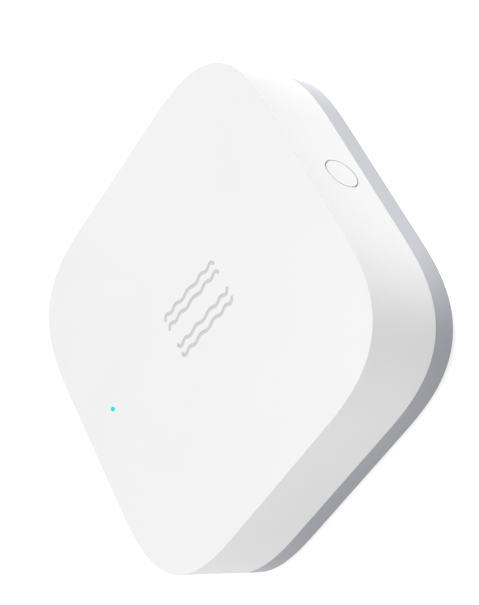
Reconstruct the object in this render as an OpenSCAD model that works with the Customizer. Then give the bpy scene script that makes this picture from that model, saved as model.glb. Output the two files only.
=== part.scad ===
// Vibration sensor tag: a soft-cornered square tag that sticks to a surface and reports knocks and tilts.
// Millimetres. The origin is the centre of the adhesive face, +Z points out of the front face,
// and +X points to the side that carries the button.

/* [Body] */
// Width of the square body across its flat sides
body_w = 50; // [46:0.5:60]
// Length of each side that a rounded corner takes up
corner_reach = 16.5; // [12:0.5:20]
// Fullness of the corner curve: 2 is a circular arc, more is squarer
corner_power = 3; // [2:0.1:4]
// Height of the front shell's side walls
shell_h = 9.7; // [9:0.1:13]
// Height of the rear cover's rim
cover_h = 2.8; // [2.4:0.1:4]
// Thickness of the front shell's side walls
wall_t = 1.5; // [1.3:0.1:2]
// Thickness of the front face
face_t = 1.5; // [1.3:0.1:1.8]
// Radius of the softened outer edges
edge_r = 0.1; // [0.1:0.05:0.8]

/* [Rear cover] */
// Thickness of the rear cover's plate
plate_t = 1.4; // [1.2:0.1:1.8]
// Height of the lip that enters the front shell
lip_h = 1.8; // [1.4:0.1:2.2]
// Thickness of the lip
lip_t = 1; // [0.8:0.1:1.2]
// Clearance between the lip and the shell wall
lip_gap = 0.2; // [0.15:0.05:0.3]
// Diameter of the ring that carries the coin cell
rest_d = 15; // [12:0.5:15.5]
// Number of ribs between that ring and the lip
rib_count = 8; // [4:4:12]
// Thickness of one rib
rib_t = 0.8; // [0.6:0.1:1]
// Height of the ribs over the plate
rib_h = 0.7; // [0.4:0.1:1]
// Width of one snap clip
clip_w = 4; // [3:0.5:5]
// Distance of each clip from the middle of its side
clip_offset = 9; // [8:0.5:11]
// How far a clip's nose stands out from its tongue
clip_nose = 0.6; // [0.5:0.05:0.7]
// Clearance around a clip
clip_gap = 0.3; // [0.2:0.05:0.4]
// Width of the pry notch in the seam
pry_w = 9; // [6:0.5:12]
// Height of the pry notch
pry_h = 0.9; // [0.6:0.1:1.2]
// Depth of the pry notch
pry_depth = 1.1; // [0.8:0.1:1.2]

/* [Adhesive pad] */
// Diameter of the adhesive pad
pad_d = 32; // [26:1:36]
// Thickness of the adhesive pad
pad_t = 1; // [0.8:0.1:1.2]
// Height that the pad stands proud of the rear cover
pad_proud = 0.6; // [0.4:0.1:0.7]
// Clearance around the pad in its recess
pad_gap = 0.2; // [0.1:0.05:0.4]

/* [Front mark and light] */
// Length of one wavy groove
mark_l = 10.9; // [8:0.1:14]
// Number of waves that one groove would have at the pace of its middle
mark_waves = 3.48; // [2.5:0.02:4.5]
// How much the waves quicken towards the groove's ends
mark_bow = 1.4; // [0:0.05:2]
// Height of a wave from its middle line
mark_swing = 0.17; // [0.1:0.01:0.4]
// How much higher the wave ends than it runs, as a share
mark_tail = 1.5; // [0:0.1:2]
// Width of one groove
mark_w = 0.47; // [0.4:0.01:0.6]
// Depth of one groove
mark_depth = 0.05; // [0.05:0.01:0.4]
// Distance between the two grooves of a pair
mark_pitch = 1.42; // [1.2:0.02:2]
// Distance between the two pairs of grooves
mark_gap = 3.14; // [2.5:0.02:4]
// Distance of the mark's middle from the middle of the face, towards the button
mark_shift = 1.48; // [0:0.02:2]
// Distance of the mark's middle from the middle of the face, across that
mark_rise = 0.08; // [0:0.02:1]
// Turn of each groove, in degrees
mark_turn = -4.2; // [-6:0.1:6]
// Turn of the light about the middle of the face, in degrees
light_turn = -4.8; // [-6:0.1:6]
// Distance of the light hole from the side of the body
light_inset = 6.2; // [5.5:0.1:8]
// Diameter of the light pipe's tip, which fills the light hole
light_d = 0.6; // [0.5:0.1:1.2]
// Thickness of the face skin around the light hole
light_skin = 0.5; // [0.4:0.1:0.6]
// Diameter of the light pipe's body
pipe_d = 2; // [1.8:0.1:2.4]
// Clearance around the light pipe
pipe_gap = 0.02; // [0.01:0.01:0.05]

/* [Side button] */
// Diameter of the button
button_d = 4.2; // [3.5:0.1:4.6]
// Clearance around the button in its bore
button_gap = 0.14; // [0.08:0.01:0.2]
// Chamfer around the button's face
button_rim = 0.05; // [0.03:0.01:0.15]
// Distance of the button's axis from the front face
button_drop = 5.85; // [5.6:0.05:6.2]
// Diameter of the flange that keeps the button in
flange_d = 5.4; // [5.2:0.1:5.6]
// Thickness of the flange
flange_t = 0.7; // [0.5:0.1:0.8]
// Clearance between the flange and the wall
flange_gap = 0.1; // [0.05:0.05:0.2]
// Diameter of the stem that pushes the switch
stem_d = 2.4; // [2:0.1:2.8]
// Travel of the button and of the switch plunger
press_travel = 0.35; // [0.2:0.05:0.5]

/* [Switch] */
// Width of the switch housing
switch_w = 6; // [5:0.1:7]
// Depth of the switch housing, along the press
switch_depth = 3.2; // [2.8:0.1:3.6]
// Height of the plunger's axis over the board, half the height of the housing
switch_axis_h = 1.75; // [1.6:0.05:1.9]
// Distance from the board's edge back to the housing's front
switch_setback = 1.7; // [1.4:0.1:2]
// Thickness of the metal frame over the housing
frame_t = 0.2; // [0.15:0.05:0.3]
// Length of the frame's tabs along the housing's sides
tab_l = 1.9; // [1.5:0.1:2.5]
// Diameter of the plunger
plunger_d = 1.6; // [1.4:0.1:1.8]
// Length of plunger that stands out of the frame
plunger_l = 1; // [0.8:0.1:1.1]
// Diameter of the plunger's flange
plunger_flange_d = 2.8; // [2.5:0.1:3]
// Thickness of the plunger's flange
plunger_flange_t = 0.35; // [0.3:0.05:0.5]
// Thickness of the snap dome
dome_t = 0.1; // [0.06:0.02:0.14]
// Clearance around the plunger in the frame, and around the dome in its pocket
plunger_gap = 0.1; // [0.08:0.01:0.12]

/* [Circuit board] */
// Thickness of the circuit board
board_t = 1; // [0.8:0.1:1.2]
// Clearance between the board's edge and the shell wall
board_gap = 1.6; // [1.4:0.1:2]
// Distance of the board screws from the board's sides
screw_inset = 6; // [5.5:0.1:7]
// Diameter of a screw's shank
screw_d = 1.4; // [1.2:0.1:1.6]
// Length of a screw under its head
screw_l = 3; // [2.6:0.1:3.2]
// Diameter of a screw's head
screw_head_d = 2.6; // [2.4:0.1:3]
// Height of a screw's head
screw_head_h = 0.8; // [0.6:0.1:1]
// Clearance around a screw in the board's hole
screw_gap = 0.2; // [0.1:0.05:0.3]
// Wall of a screw boss around its screw
boss_wall = 1; // [0.8:0.1:1.2]

/* [Coin cell and holder] */
// Diameter of the coin cell
cell_d = 20; // [16:0.5:20]
// Height of the coin cell
cell_h = 3.2; // [2.5:0.1:3.4]
// Sheet thickness of the cell's can and cap
cell_sheet = 0.25; // [0.2:0.05:0.3]
// Clearance around the cell in its holder
cell_gap = 0.2; // [0.15:0.05:0.3]
// Wall of the holder around the cell
holder_wall = 1.4; // [1.2:0.1:1.8]
// Thickness of the holder's floor, against the board
holder_floor = 0.7; // [0.6:0.1:0.9]
// Height of the holder over the board
holder_h = 3.8; // [3.2:0.1:4]
// Diameter of the hole in the holder's floor
holder_hole_d = 13; // [11:0.5:14]
// Width of the gaps at which the cell is lifted out
lift_w = 8; // [6:0.5:10]
// Sheet thickness of the cell contacts
contact_t = 0.2; // [0.15:0.05:0.25]
// Width of the cell contacts
contact_w = 3; // [2.5:0.1:3.5]
// Length of the contact under the cell's cap
contact_l = 7.5; // [6:0.5:9]
// How far the contacts at the cell's side bow in
contact_bow = 0.6; // [0.4:0.1:0.8]

/* [Board parts] */
// Width of the square radio chip
radio_w = 6; // [5:0.5:7]
// Height of the radio chip
radio_h = 0.9; // [0.7:0.1:1]
// Width of the square accelerometer chip
accel_w = 3; // [2:0.5:4]
// Height of the accelerometer chip
accel_h = 1; // [0.8:0.1:1.1]
// Distance of the accelerometer from the middle of the board
accel_shift = 7; // [5:0.5:9]
// Length of the crystal's case
crystal_l = 3.2; // [2.5:0.1:4]
// Width of the crystal's case
crystal_w = 2.5; // [2:0.1:3]
// Height of the crystal's case
crystal_h = 0.7; // [0.6:0.1:0.9]
// Length of a capacitor or resistor, twice its width and height
passive_l = 1; // [0.6:0.1:1.6]
// Space between neighbouring board parts
part_gap = 1; // [0.5:0.1:1.5]
// Length of the folded antenna
antenna_l = 20; // [16:1:22]
// Depth of the antenna's folds
antenna_depth = 3.2; // [2.5:0.1:4]
// Width of the antenna's copper
antenna_w = 0.8; // [0.5:0.1:1]
// Thickness of the antenna's copper
antenna_t = 0.1; // [0.05:0.05:0.2]
// Distance of the antenna from the board's edge
antenna_inset = 1.2; // [1:0.1:2]

/* [Hidden] */
$fn = 48;

// Overshoot of a cut past the face that it opens, and the film of air between faces that slide
cut = 1;
film = 0.02;
corner_steps = 16;
edge_steps = 3;
wave_steps = 60;
wave_end_steps = 6;
wave_tail_power = 32;

// Levels, from the adhesive face up to the front face
half = body_w / 2;
cover_z = pad_proud;
plate_z = cover_z + plate_t;
seam_z = cover_z + cover_h;
lip_z = seam_z + lip_h;
front_z = seam_z + shell_h;
ceiling_z = front_z - face_t;
button_z = front_z - button_drop;
board_back_z = button_z + switch_axis_h;
board_front_z = board_back_z + board_t;

// Insets from the outline of the body
lip_inset = wall_t + lip_gap;
rim_inset = lip_inset + lip_t;
board_inset = wall_t + board_gap;

// The clips' slots leave a skin of the cover's rim, and their noses enter pockets in the shell wall
slot_skin = lip_inset - clip_gap;
nose_h = 0.7;
nose_drop = 0.3;
pocket_depth = clip_nose - lip_gap + clip_gap / 2;

// Light
light_xy = turned([-(half - light_inset), 0], light_turn);
light_boss_d = pipe_d + 2 * boss_wall;
led_size = [1.6, 0.8, 0.6];
led_gap = 0.15;
pipe_z = board_front_z + led_size[2] + led_gap;

// Button and switch, along the press
wall_x = half - wall_t;
flange_x = wall_x - flange_gap;
switch_x = half - board_inset - switch_setback;
frame_x = switch_x + frame_t;
plunger_x = frame_x + plunger_l;
stem_x = plunger_x + film;
dome_rise = press_travel + dome_t;
dome_d = plunger_flange_d + 2 * plunger_gap;
pocket_d = dome_d + 2 * plunger_gap;
switch_pocket = plunger_flange_t + dome_rise + dome_t + 2 * film;

// Screws
screw_xy = half - board_inset - screw_inset;
screw_bore_d = screw_d + 2 * film;
screw_room = 0.25;
screw_hole_d = screw_d + 2 * screw_gap;
boss_d = screw_bore_d + 2 * boss_wall;

// Radio chip, the same distance from the middle of the board along X and Y
radio_x = radio_w / 2 + 2 * part_gap;

// Coin cell, which lies with its cap to the board
cell_r = cell_d / 2;
holder_r = cell_r + cell_gap + holder_wall;
cell_lift = 0.1;
cell_top_z = board_back_z - holder_floor - cell_lift;
cell_z = cell_top_z - cell_h;
cell_rest_gap = 0.3;
cap_inset = 1.2;
cap_proud = 0.3;
cap_r = cell_r - cap_inset;
crimp_h = cell_h - cap_proud;
gasket_t = 0.6;
window_gap = 1.5;
leaf_inset = 1;

// Outline of the body: four straight sides joined by corners that follow a superellipse
function turned(p, a) = [p[0] * cos(a) - p[1] * sin(a), p[0] * sin(a) + p[1] * cos(a)];
function corner_point(side, reach, a) = [
    side - reach + reach * pow(cos(a), 2 / corner_power),
    side - reach + reach * pow(sin(a), 2 / corner_power)
];
function body_outline(inset) = [
    for (quarter = [0:3], i = [0:corner_steps])
        turned(corner_point(half - inset, corner_reach - inset, 90 * i / corner_steps), 90 * quarter)
];

// A prism of the body's outline, drawn in by an inset
module outline_prism(inset, low, high) {
    translate([0, 0, low]) linear_extrude(high - low) polygon(body_outline(inset));
}

// A solid block of the body's outline, with a rounded edge at its far level, above or below the near one
module soft_block(near, far) {
    h = abs(far - near);
    rings = [
        [0, 0],
        for (i = [0:edge_steps])
            let (a = 90 * i / edge_steps)
            [edge_r * (1 - cos(a)), h - edge_r * (1 - sin(a))]
    ];
    n = 4 * (corner_steps + 1);
    last = len(rings) - 1;
    translate([0, 0, near]) mirror([0, 0, far < near ? 1 : 0]) polyhedron(
        points = [for (ring = rings, p = body_outline(ring[0])) [p[0], p[1], ring[1]]],
        faces = [
            [for (i = [0:n - 1]) i],
            [for (i = [n - 1:-1:0]) last * n + i],
            for (r = [0:last - 1], i = [0:n - 1])
                let (low = r * n, next = (i + 1) % n)
                [low + i, low + n + i, low + n + next, low + next]
        ]
    );
}

// Places its children on each of the four sides, twice, with +X pointing out of the side
module at_clips() {
    for (a = [0:90:270], side = [-1, 1])
        rotate([0, 0, a]) translate([half, side * clip_offset, 0]) children();
}

// Places its children at the four board screws
module at_screws() {
    for (x = [-1, 1], y = [-1, 1])
        translate([x * screw_xy, y * screw_xy, 0]) children();
}

// Turns its children so that their Z axis runs along the press, with the button's axis as the middle
module along_press() {
    translate([0, 0, button_z]) rotate([0, 90, 0]) children();
}

// One wavy groove: a round-ended ribbon of even width around a wave that quickens towards both ends,
// where it runs out in a higher tail. The place along the groove goes from -0.5 to 0.5.
function wave_height(u) = mark_swing * (1 + mark_tail * pow(2 * u, wave_tail_power));
function wave_point(u) = [mark_l * u, wave_height(u) * cos(360 * mark_waves * (u + mark_bow * pow(u, 3)))];
function wave_heading(u) =
    let (step = 0.25 / wave_steps, along = wave_point(u + step) - wave_point(u - step))
    atan2(along[1], along[0]);
function wave_side(u, angle) =
    let (to = wave_heading(u) + angle) wave_point(u) + mark_w / 2 * [cos(to), sin(to)];
module wave_groove() {
    polygon([
        for (i = [0:wave_steps]) wave_side(i / wave_steps - 0.5, 90),
        for (i = [1:wave_end_steps - 1]) wave_side(0.5, 90 - 180 * i / wave_end_steps),
        for (i = [wave_steps:-1:0]) wave_side(i / wave_steps - 0.5, -90),
        for (i = [1:wave_end_steps - 1]) wave_side(-0.5, -90 - 180 * i / wave_end_steps)
    ]);
}

// The vibration mark: two pairs of wavy grooves, the lower pair a mirror image of the upper one
module wave_mark() {
    for (flip = [-1, 1], row = [0, 1])
        translate([mark_shift, mark_rise + flip * (mark_gap / 2 + row * mark_pitch), front_z - mark_depth])
            rotate([0, 0, mark_turn]) linear_extrude(mark_depth + cut)
                mirror([0, flip < 0 ? 1 : 0, 0]) wave_groove();
}

module front_shell() {
    color("white") difference() {
        union() {
            difference() {
                soft_block(seam_z, front_z);
                outline_prism(wall_t, seam_z - cut, ceiling_z);
            }
            at_screws() translate([0, 0, board_front_z])
                cylinder(d = boss_d, h = ceiling_z - board_front_z + face_t / 2);
            translate([light_xy[0], light_xy[1], pipe_z])
                cylinder(d = light_boss_d, h = ceiling_z - pipe_z + face_t / 2);
        }
        along_press() translate([0, 0, wall_x - cut])
            cylinder(d = button_d + 2 * button_gap, h = wall_t + 2 * cut);
        at_screws() translate([0, 0, board_front_z - cut])
            cylinder(d = screw_bore_d, h = screw_l - board_t + screw_room + cut);
        translate([light_xy[0], light_xy[1], pipe_z - cut]) {
            cylinder(d = pipe_d + 2 * pipe_gap, h = front_z - light_skin - pipe_z + cut);
            cylinder(d = light_d + 2 * pipe_gap, h = front_z - pipe_z + 2 * cut);
        }
        at_clips()
            translate([-wall_t - cut, -clip_w / 2 - clip_gap, lip_z - nose_drop - nose_h - clip_gap / 2])
                cube([pocket_depth + cut, clip_w + 2 * clip_gap, nose_h + clip_gap]);
        wave_mark();
    }
}

// Ribs that stiffen the cover's plate, from the ring under the cell out to the lip
module cover_ribs() {
    low_z = plate_z - plate_t / 4;
    intersection() {
        outline_prism(rim_inset - lip_t / 2, low_z, plate_z + rib_h);
        for (i = [1:rib_count])
            rotate([0, 0, 360 * i / rib_count]) translate([(rest_d - lip_t) / 2, -rib_t / 2, low_z])
                cube([body_w, rib_t, plate_z + rib_h - low_z]);
    }
}

module rear_cover() {
    color("lightsteelblue") difference() {
        union() {
            difference() {
                soft_block(seam_z, cover_z);
                outline_prism(rim_inset, plate_z, seam_z + cut);
            }
            difference() {
                outline_prism(lip_inset, plate_z, lip_z);
                outline_prism(rim_inset, plate_z - cut, lip_z + cut);
            }
            translate([0, 0, plate_z - plate_t / 4]) difference() {
                cylinder(d = rest_d, h = cell_z - cell_rest_gap - plate_z + plate_t / 4);
                translate([0, 0, -cut]) cylinder(d = rest_d - 2 * lip_t, h = cell_z);
            }
            cover_ribs();
        }
        translate([0, 0, cover_z - cut]) cylinder(d = pad_d + 2 * pad_gap, h = pad_t - pad_proud + cut);
        at_clips() translate([-rim_inset - cut, -clip_w / 2 - clip_gap, plate_z])
            cube([rim_inset - slot_skin + cut, clip_w + 2 * clip_gap, lip_z - plate_z + cut]);
        translate([half - rim_inset - cut, -flange_d / 2 - cut, seam_z])
            cube([rim_inset, flange_d + 2 * cut, lip_h + cut]);
        translate([-half - cut, -pry_w / 2, seam_z - pry_h]) cube([pry_depth + cut, pry_w, pry_h + cut]);
    }
}

module cover_clips() {
    color("lightsteelblue") at_clips() {
        translate([-rim_inset, -clip_w / 2, plate_z]) cube([lip_t, clip_w, lip_z - plate_z]);
        translate([-lip_inset, clip_w / 2, lip_z - nose_drop]) rotate([90, 0, 0]) linear_extrude(clip_w)
            polygon([
                [-lip_t / 2, 0], [0, 0], [clip_nose, -nose_h / 2], [clip_nose, -nose_h], [-lip_t / 2, -nose_h]
            ]);
    }
}

module adhesive_pad() {
    color("gainsboro") cylinder(d = pad_d, h = pad_t);
}

module light_pipe() {
    color("azure") translate([light_xy[0], light_xy[1], pipe_z]) {
        cylinder(d = pipe_d, h = front_z - light_skin - pipe_gap - pipe_z);
        cylinder(d = light_d, h = front_z - pipe_z);
    }
}

module side_button() {
    color("white") along_press() {
        translate([0, 0, stem_x]) cylinder(d = stem_d, h = flange_x - stem_x);
        translate([0, 0, flange_x - flange_t]) cylinder(d = flange_d, h = flange_t);
        translate([0, 0, flange_x - flange_t])
            cylinder(d = button_d, h = half - button_rim - flange_x + flange_t);
        translate([0, 0, half - button_rim])
            cylinder(d1 = button_d, d2 = button_d - 2 * button_rim, h = button_rim);
    }
}

module switch_housing() {
    color("black") difference() {
        translate([switch_x - switch_depth, -switch_w / 2, board_back_z - 2 * switch_axis_h])
            cube([switch_depth, switch_w, 2 * switch_axis_h]);
        along_press() translate([0, 0, switch_x - switch_pocket])
            cylinder(d = pocket_d, h = switch_pocket + cut);
    }
}

module switch_frame() {
    tab_y = (switch_w + frame_t) / 2;
    color("silver") difference() {
        union() {
            translate([switch_x, -switch_w / 2 - frame_t, board_back_z - 2 * switch_axis_h])
                cube([frame_t, switch_w + 2 * frame_t, 2 * switch_axis_h]);
            for (side = [-1, 1])
                translate([switch_x - tab_l, side * tab_y - frame_t / 2, button_z - switch_axis_h / 2])
                    cube([tab_l + frame_t, frame_t, switch_axis_h]);
        }
        along_press() translate([0, 0, switch_x - cut])
            cylinder(d = plunger_d + 2 * plunger_gap, h = frame_t + 2 * cut);
    }
}

// A shallow cap of thin metal, whose rim stands on the floor of the housing's pocket
module switch_dome() {
    rim_r = dome_d / 2;
    ball_r = (rim_r * rim_r + dome_rise * dome_rise) / (2 * dome_rise);
    spread = asin(rim_r / ball_r);
    steps = 6;
    color("silver") along_press() translate([0, 0, switch_x - switch_pocket + dome_rise - ball_r])
        rotate_extrude() polygon([
            for (i = [0:steps]) ball_r * [sin(spread * i / steps), cos(spread * i / steps)],
            [rim_r, ball_r * cos(spread) + dome_t],
            for (i = [steps - 1:-1:0]) (ball_r + dome_t) * [sin(spread * i / steps), cos(spread * i / steps)]
        ]);
}

module switch_plunger() {
    foot_x = switch_x - film - plunger_flange_t;
    color("dimgray") along_press() translate([0, 0, foot_x]) {
        cylinder(d = plunger_flange_d, h = plunger_flange_t);
        cylinder(d = plunger_d, h = plunger_x - foot_x);
    }
}

// Four flat legs that come out of the housing's back corners and lie on the board
module switch_terminals() {
    leg = [0.8, 1.2, contact_t];
    leg_inset = 0.2;
    leg_y = (switch_w + leg[1]) / 2;
    color("silver") for (side = [-1, 1], x = [leg_inset + leg[0], switch_depth - leg_inset])
        translate([switch_x - x, side * leg_y - leg[1] / 2, board_back_z - leg[2]]) cube(leg);
}

module circuit_board() {
    color("seagreen") difference() {
        outline_prism(board_inset, board_back_z, board_front_z);
        at_screws() translate([0, 0, board_back_z - cut]) cylinder(d = screw_hole_d, h = board_t + 2 * cut);
    }
}

// Pan-head screws from the back of the board into the shell's bosses, with a plain shank
module board_screws() {
    tip_l = 0.4;
    recess = [screw_head_d * 0.7, screw_d / 4, screw_head_h / 2];
    color("silver") at_screws() translate([0, 0, board_back_z]) difference() {
        union() {
            translate([0, 0, -screw_head_h])
                cylinder(d1 = screw_head_d * 0.8, d2 = screw_head_d, h = screw_head_h);
            translate([0, 0, -screw_head_h / 2])
                cylinder(d = screw_d, h = screw_l - tip_l + screw_head_h / 2);
            translate([0, 0, screw_l - tip_l]) cylinder(d1 = screw_d, d2 = screw_d / 2, h = tip_l);
        }
        for (a = [0, 90])
            rotate([0, 0, a]) translate([-recess[0] / 2, -recess[1] / 2, -screw_head_h - cut])
                cube([recess[0], recess[1], recess[2] + cut]);
    }
}

// A round cradle with two windows for the contacts and two gaps to lift the cell out
module cell_holder() {
    window = contact_w + 2 * window_gap;
    color("whitesmoke") translate([0, 0, board_back_z - holder_h]) difference() {
        cylinder(r = holder_r, h = holder_h);
        translate([0, 0, -cut]) cylinder(r = cell_r + cell_gap, h = holder_h - holder_floor + cut);
        cylinder(d = holder_hole_d, h = holder_h + cut);
        for (side = [-1, 1]) {
            translate([side * cell_r - window / 2, -window / 2, -cut])
                cube([window, window, holder_h + 2 * cut]);
            translate([-lift_w / 2, side * cell_r - lift_w / 2, -cut])
                cube([lift_w, lift_w, holder_h - holder_floor + cut]);
        }
    }
}

// A bent strip: a foot on the board, a ramp, and a tip on the cell's cap
module negative_contact() {
    rise = board_back_z - cell_top_z - contact_t - film;
    run = contact_l / 3;
    color("silver") translate([0, contact_w / 2, board_back_z]) rotate([90, 0, 0]) linear_extrude(contact_w)
        polygon([
            [-2 * run, 0], [-run, 0], [run / 2, -rise], [run, -rise],
            [run, -rise - contact_t], [run / 2, -rise - contact_t], [-run, -contact_t], [-2 * run, -contact_t]
        ]);
}

// Two leaves that stand on the board and bow in to the cell's side
module positive_contacts() {
    bow = contact_bow;
    leaf_x = cell_r + 2 * film;
    leaf_h = holder_h - leaf_inset;
    foot_x = leaf_x + bow;
    foot_y = contact_w / 2 + contact_t;
    foot = [contact_w / 2, 3 * contact_t, contact_t];
    color("silver") for (a = [0, 180]) rotate([0, 0, a]) {
        translate([leaf_x, 0, board_back_z - leaf_h]) linear_extrude(leaf_h)
            polygon([
                [bow, -contact_w / 2], [0, -contact_t], [0, contact_t], [bow, contact_w / 2],
                [bow + contact_t, contact_w / 2], [contact_t, 0], [bow + contact_t, -contact_w / 2]
            ]);
        for (side = [-1, 1])
            translate([foot_x, side * foot_y - foot[1] / 2, board_back_z - foot[2]]) cube(foot);
    }
}

// The cell's can: a cup whose flat face looks at the rear cover and whose rim is crimped over the gasket
module cell_can() {
    color("silver") translate([0, 0, cell_z]) rotate_extrude() polygon([
        [0, 0], [cell_r, 0], [cell_r, crimp_h], [cap_r + gasket_t, crimp_h],
        [cap_r + gasket_t, crimp_h - cell_sheet], [cell_r - cell_sheet, crimp_h - cell_sheet],
        [cell_r - cell_sheet, cell_sheet], [0, cell_sheet]
    ]);
}

// The ring that keeps the can and the cap apart
module cell_gasket() {
    color("dimgray") translate([0, 0, cell_z]) rotate_extrude() polygon([
        [cap_r, cell_sheet], [cell_r - cell_sheet, cell_sheet], [cell_r - cell_sheet, crimp_h - cell_sheet],
        [cap_r + gasket_t, crimp_h - cell_sheet], [cap_r + gasket_t, crimp_h], [cap_r, crimp_h]
    ]);
}

// The cell's cap: an upturned cup inside the gasket
module cell_cap() {
    color("silver") translate([0, 0, cell_z]) rotate_extrude() polygon([
        [0, cell_h - cell_sheet], [cap_r - cell_sheet, cell_h - cell_sheet], [cap_r - cell_sheet, cell_h / 2],
        [cap_r, cell_h / 2], [cap_r, cell_h], [0, cell_h]
    ]);
}

// The electrodes inside the cell
module cell_core() {
    color("dimgray") translate([0, 0, cell_z + cell_sheet])
        cylinder(r = cap_r - cell_sheet, h = cell_h - 2 * cell_sheet);
}

module status_led() {
    base = [led_size[0], led_size[1], led_size[2] / 2];
    lens = [led_size[0] * 2 / 3, led_size[1], led_size[2]];
    color("ivory") translate([light_xy[0], light_xy[1], board_front_z]) rotate([0, 0, light_turn]) {
        translate([-base[0] / 2, -base[1] / 2, 0]) cube(base);
        translate([-lens[0] / 2, -lens[1] / 2, 0]) cube(lens);
    }
}

// A flat chip on the front of the board
module board_chip(x, y, size) {
    translate([x - size[0] / 2, y - size[1] / 2, board_front_z]) cube(size);
}

module radio_chip() {
    color("black") board_chip(radio_x, radio_x, [radio_w, radio_w, radio_h]);
}

module accelerometer_chip() {
    color("black") board_chip(0, -accel_shift, [accel_w, accel_w, accel_h]);
}

module crystal() {
    size = [crystal_l, crystal_w, crystal_h];
    color("silver") board_chip(-crystal_l / 2, radio_x + (radio_w - crystal_w) / 2, size);
}

// A folded copper strip along one side of the board, with a foot for its feed and one for ground
module antenna_trace() {
    folds = 10;
    step = antenna_l / folds;
    far_y = half - board_inset - antenna_inset;
    color("peru") translate([-antenna_l / 2, far_y - antenna_depth, board_front_z]) {
        for (i = [0:folds - 1]) {
            translate([i * step, 0, 0]) cube([antenna_w, antenna_depth, antenna_t]);
            translate([i * step, i % 2 == 0 ? antenna_depth - antenna_w : 0, 0])
                cube([step + antenna_w, antenna_w, antenna_t]);
        }
        for (x = [0, step])
            translate([x, -antenna_depth / 2, 0]) cube([antenna_w, antenna_depth / 2 + antenna_w, antenna_t]);
    }
}

// Capacitors and resistors: a row on each side of the radio chip and a pair on each side of the accelerometer
module chip_passives() {
    size = [passive_l, passive_l / 2, passive_l / 2];
    radio_side = (radio_w + passive_l) / 2 + part_gap;
    accel_side = (accel_w + passive_l) / 2 + 2 * part_gap;
    pitch = passive_l / 2 + part_gap;
    color("tan") {
        for (i = [0:3]) board_chip(radio_x + radio_side, radio_x - radio_w / 2 + (i + 0.5) * pitch, size);
        for (i = [0:1]) board_chip(radio_x - radio_side, radio_x - radio_w / 2 + (i + 0.5) * pitch, size);
        for (x = [-1, 1], y = [-0.5, 0.5]) board_chip(x * accel_side, y * pitch - accel_shift, size);
    }
}

front_shell();
rear_cover();
cover_clips();
adhesive_pad();
light_pipe();
side_button();
switch_housing();
switch_frame();
switch_dome();
switch_plunger();
switch_terminals();
circuit_board();
board_screws();
cell_holder();
negative_contact();
positive_contacts();
cell_can();
cell_gasket();
cell_cap();
cell_core();
status_led();
radio_chip();
accelerometer_chip();
crystal();
antenna_trace();
chip_passives();
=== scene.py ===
import math

import bmesh
import bpy
from mathutils import Matrix, Vector


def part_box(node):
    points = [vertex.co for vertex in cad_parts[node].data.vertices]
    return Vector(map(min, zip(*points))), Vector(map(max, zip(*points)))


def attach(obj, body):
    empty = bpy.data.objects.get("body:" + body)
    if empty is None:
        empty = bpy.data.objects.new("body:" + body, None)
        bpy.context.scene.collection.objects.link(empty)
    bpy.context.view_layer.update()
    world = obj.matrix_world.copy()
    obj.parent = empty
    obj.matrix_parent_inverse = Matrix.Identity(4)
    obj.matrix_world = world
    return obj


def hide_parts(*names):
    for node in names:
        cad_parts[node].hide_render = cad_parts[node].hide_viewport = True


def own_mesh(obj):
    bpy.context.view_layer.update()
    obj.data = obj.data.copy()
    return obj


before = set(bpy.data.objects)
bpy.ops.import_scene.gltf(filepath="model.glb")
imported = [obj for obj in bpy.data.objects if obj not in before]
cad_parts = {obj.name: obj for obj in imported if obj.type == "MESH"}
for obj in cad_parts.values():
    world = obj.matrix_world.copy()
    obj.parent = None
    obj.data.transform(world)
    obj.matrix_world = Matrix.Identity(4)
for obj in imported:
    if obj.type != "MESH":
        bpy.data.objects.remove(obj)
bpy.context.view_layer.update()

mm = 0.001
tau = 2 * math.pi
scene = bpy.context.scene

# the tag's outline and levels in millimetres, the same as in the part's source
tag = {
    "half": 25.0, "cornerReach": 16.5, "cornerPower": 3.0, "cornerSteps": 40,
    "coverBack": 0.6, "plateTop": 2.0, "seam": 3.4, "lipTop": 5.2,
    "buttonAxis": 7.25, "boardBack": 9.0, "boardFront": 10.0, "ceiling": 11.6, "front": 13.1,
    "markTurn": math.radians(-4.2), "lightTurn": math.radians(-4.8), "lightReach": 18.8,
    "screwReach": 15.9,
}
lightX = -tag["lightReach"] * math.cos(tag["lightTurn"])
lightY = -tag["lightReach"] * math.sin(tag["lightTurn"])
screwSpots = [(x * tag["screwReach"], y * tag["screwReach"]) for x in (-1, 1) for y in (-1, 1)]
upright = Matrix.Identity(4)
alongPress = Matrix.Translation((0, 0, tag["buttonAxis"])) @ Matrix.Rotation(math.pi / 2, 4, "Y")


# shapes, drawn in millimetres into a bmesh

mergeGap = 1e-5  # points closer than this become one
crease = math.radians(35)  # edges sharper than this stay sharp


def outline(inset):
    side, reach, power = tag["half"] - inset, tag["cornerReach"] - inset, tag["cornerPower"]
    ring = []
    for quarter in range(4):
        turn = Matrix.Rotation(quarter * math.pi / 2, 2)
        for step in range(tag["cornerSteps"] + 1):
            angle = step / tag["cornerSteps"] * math.pi / 2
            c, s = math.cos(angle), math.sin(angle)
            r = reach / (c ** power + s ** power) ** (1 / power)
            ring.append(turn @ Vector((side - reach + r * c, side - reach + r * s)))
    return ring


def skin(bm, rows, closed=False, paint=0):
    # joins rows of points, where a row of one point is the tip of a fan
    made = [[bm.verts.new(p) for p in row] for row in rows]
    pairs = list(zip(made, made[1:])) + ([(made[-1], made[0])] if closed else [])
    for low, high in pairs:
        count = max(len(low), len(high))
        for i in range(count):
            j = (i + 1) % count
            corners = [low[i % len(low)], low[j % len(low)], high[j % len(high)], high[i % len(high)]]
            face = bm.faces.new(list(dict.fromkeys(corners)))
            face.material_index = paint
    for row in (made[0], made[-1]):
        if not closed and len(row) > 2:
            bm.faces.new(row).material_index = paint


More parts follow.
